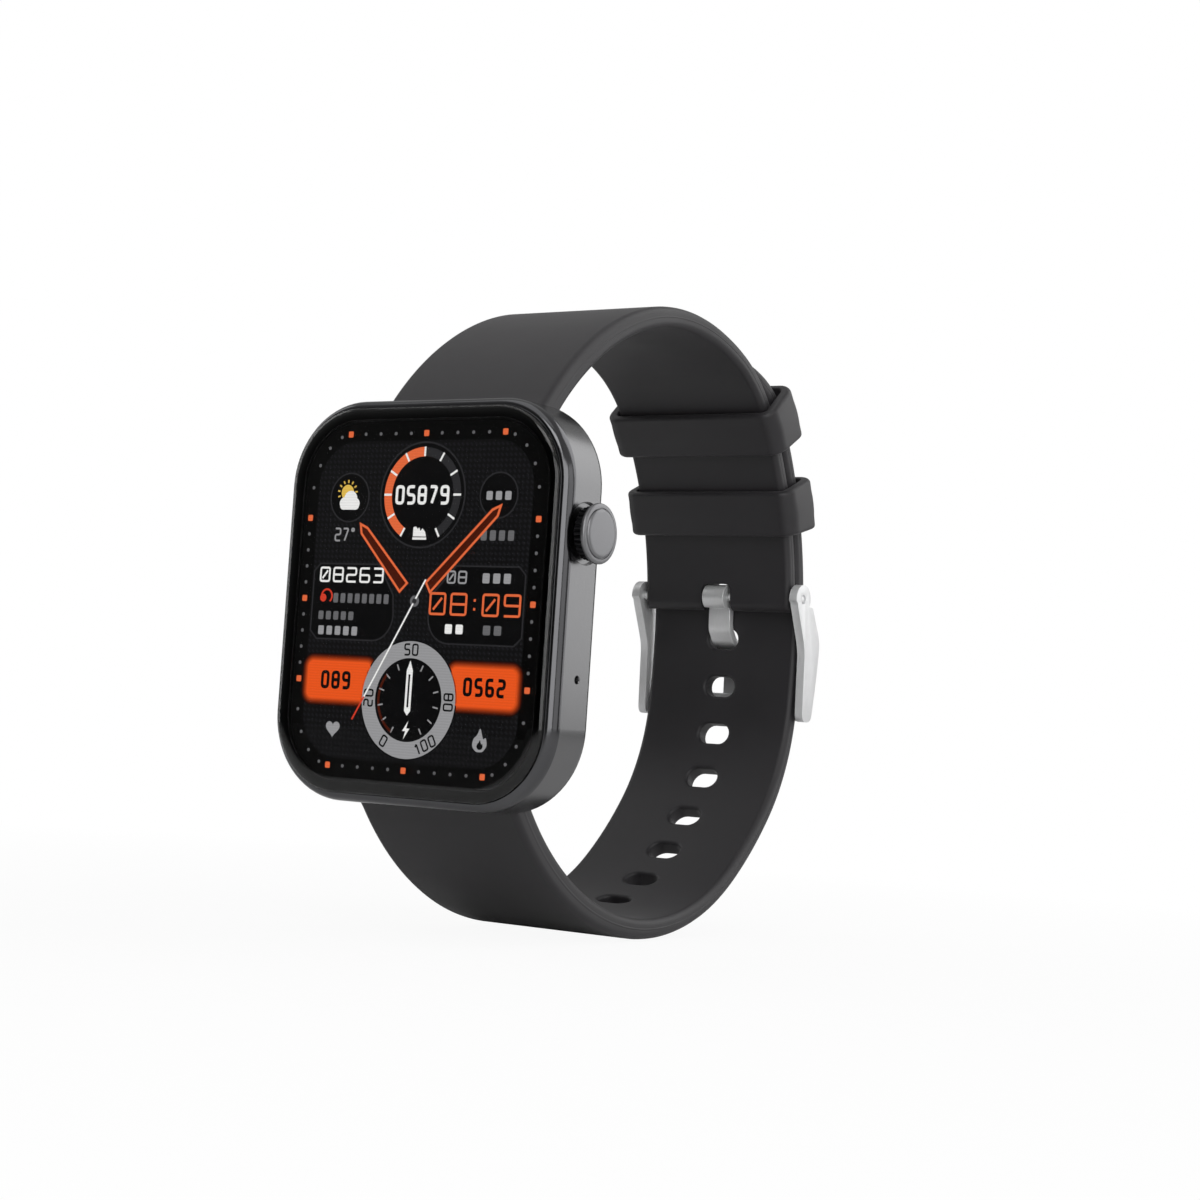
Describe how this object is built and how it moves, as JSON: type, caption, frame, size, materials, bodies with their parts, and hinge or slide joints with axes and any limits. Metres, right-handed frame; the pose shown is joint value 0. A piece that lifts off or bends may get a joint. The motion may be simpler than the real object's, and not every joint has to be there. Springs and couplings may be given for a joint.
{
  "type": "smartwatch",
  "caption": "Rectangular smartwatch on a fastened silicone strap with a side crown, pin buckle and sliding keepers; sits on a wrist.",
  "frame": {"origin": "middle of the flat face of the sensor window, where the case back rests on the wrist", "axes": "+Y out of the case back into the wrist, -Y out of the display, +Z to twelve o'clock, +X out of the crown side"},
  "size_m": [0.0405, 0.072, 0.0752],
  "materials": {
    "cover_glass": "polished 2.5D cover glass with a black border",
    "black_foam": "black adhesive foam",
    "display": "lit colour display behind glass",
    "flex_film": "amber polyimide film",
    "gunmetal": "gunmetal coated alloy, satin gloss",
    "steel_sheet": "thin pressed steel",
    "circuit_board": "green solder mask",
    "chip_plastic": "moulded black epoxy",
    "cell_foil": "laminated cell pouch",
    "brass_weight": "sintered weight",
    "back_plastic": "fine moulded black plastic",
    "seal_rubber": "soft black seal",
    "sensor_glass": "dark polished sensor window",
    "gold_contact": "gold flashed charging pins",
    "crown_metal": "gunmetal disc, satin",
    "crown_black": "black knurled barrel",
    "silicone": "soft-touch moulded silicone",
    "buckle_steel": "bright satin stainless steel"
  },
  "bodies": {
    "watch": {"cover_glass": "cover_glass", "display_adhesive": "black_foam", "display_panel": "display", "display_flex": "flex_film", "case_body": "gunmetal", "inner_frame": "steel_sheet", "main_board": "circuit_board", "board_chips": "chip_plastic", "shield_can": "steel_sheet", "battery": "cell_foil", "battery_tape": "flex_film", "speaker": "chip_plastic", "speaker_mesh": "steel_sheet", "microphone": "steel_sheet", "motor_can": "steel_sheet", "motor_shaft": "steel_sheet", "rear_cover": "back_plastic", "rear_gasket": "seal_rubber", "case_screws": "buckle_steel", "sensor_window": "sensor_glass", "sensor_board": "circuit_board", "sensor_diodes": "chip_plastic", "charging_contacts": "gold_contact", "charging_magnets": "steel_sheet", "crown_tube": "steel_sheet", "crown_switch": "chip_plastic", "spring_bar_upper": "buckle_steel", "spring_bar_lower": "buckle_steel", "strap_short": "silicone", "strap_long": "silicone"},
    "crown_push": {"crown_clip": "steel_sheet"},
    "crown": {"crown_cap": "crown_metal", "crown_knurl": "crown_black", "crown_stem": "buckle_steel", "crown_seal": "seal_rubber"},
    "rotor": {"motor_rotor": "brass_weight"},
    "release_upper": {"release_pin_upper": "buckle_steel"},
    "release_lower": {"release_pin_lower": "buckle_steel"},
    "loop_upper": {"keeper_upper": "silicone"},
    "loop_lower": {"keeper_lower": "silicone"},
    "buckle": {"buckle_frame": "buckle_steel", "buckle_bar": "buckle_steel"},
    "buckle_tang": {"tang": "buckle_steel"}
  },
  "joints": [
    {"name": "crown_press", "type": "slide", "parent": "watch", "child": "crown_push", "axis": [-1, 0, 0], "range_m": [0, 0.00045], "stiffness_N_per_m": 3000},
    {"name": "crown_turn", "type": "hinge", "parent": "crown_push", "child": "crown", "pos_m": [0.0157, -0.00635, 0.008], "axis": [1, 0, 0], "continuous": true},
    {"name": "buckle_tilt", "type": "hinge", "parent": "watch", "child": "buckle", "pos_m": [0, 0.05466, 0.00594], "axis": [1, 0, 0], "range_deg": [0, 1.2]},
    {"name": "tang_lift", "type": "hinge", "parent": "buckle", "child": "buckle_tang", "pos_m": [0, 0.05466, 0.00594], "axis": [1, 0, 0], "range_deg": [0, 0.7]},
    {"name": "keeper_upper_slide", "type": "hinge", "parent": "watch", "child": "loop_upper", "pos_m": [0, 0.01074, 0.0019], "axis": [1, 0, 0], "range_deg": [-3, 2.6]},
    {"name": "keeper_lower_slide", "type": "hinge", "parent": "watch", "child": "loop_lower", "pos_m": [0, 0.01074, 0.0019], "axis": [1, 0, 0], "range_deg": [-5.86, 3]},
    {"name": "release_upper_slide", "type": "slide", "parent": "watch", "child": "release_upper", "axis": [-1, 0, 0], "range_m": [0, 0.0016], "stiffness_N_per_m": 800},
    {"name": "release_lower_slide", "type": "slide", "parent": "watch", "child": "release_lower", "axis": [-1, 0, 0], "range_m": [0, 0.0016], "stiffness_N_per_m": 800},
    {"name": "motor_turn", "type": "hinge", "parent": "watch", "child": "rotor", "pos_m": [-0.0112, -0.007, 0.0077], "axis": [0, 1, 0], "continuous": true}
  ]
}
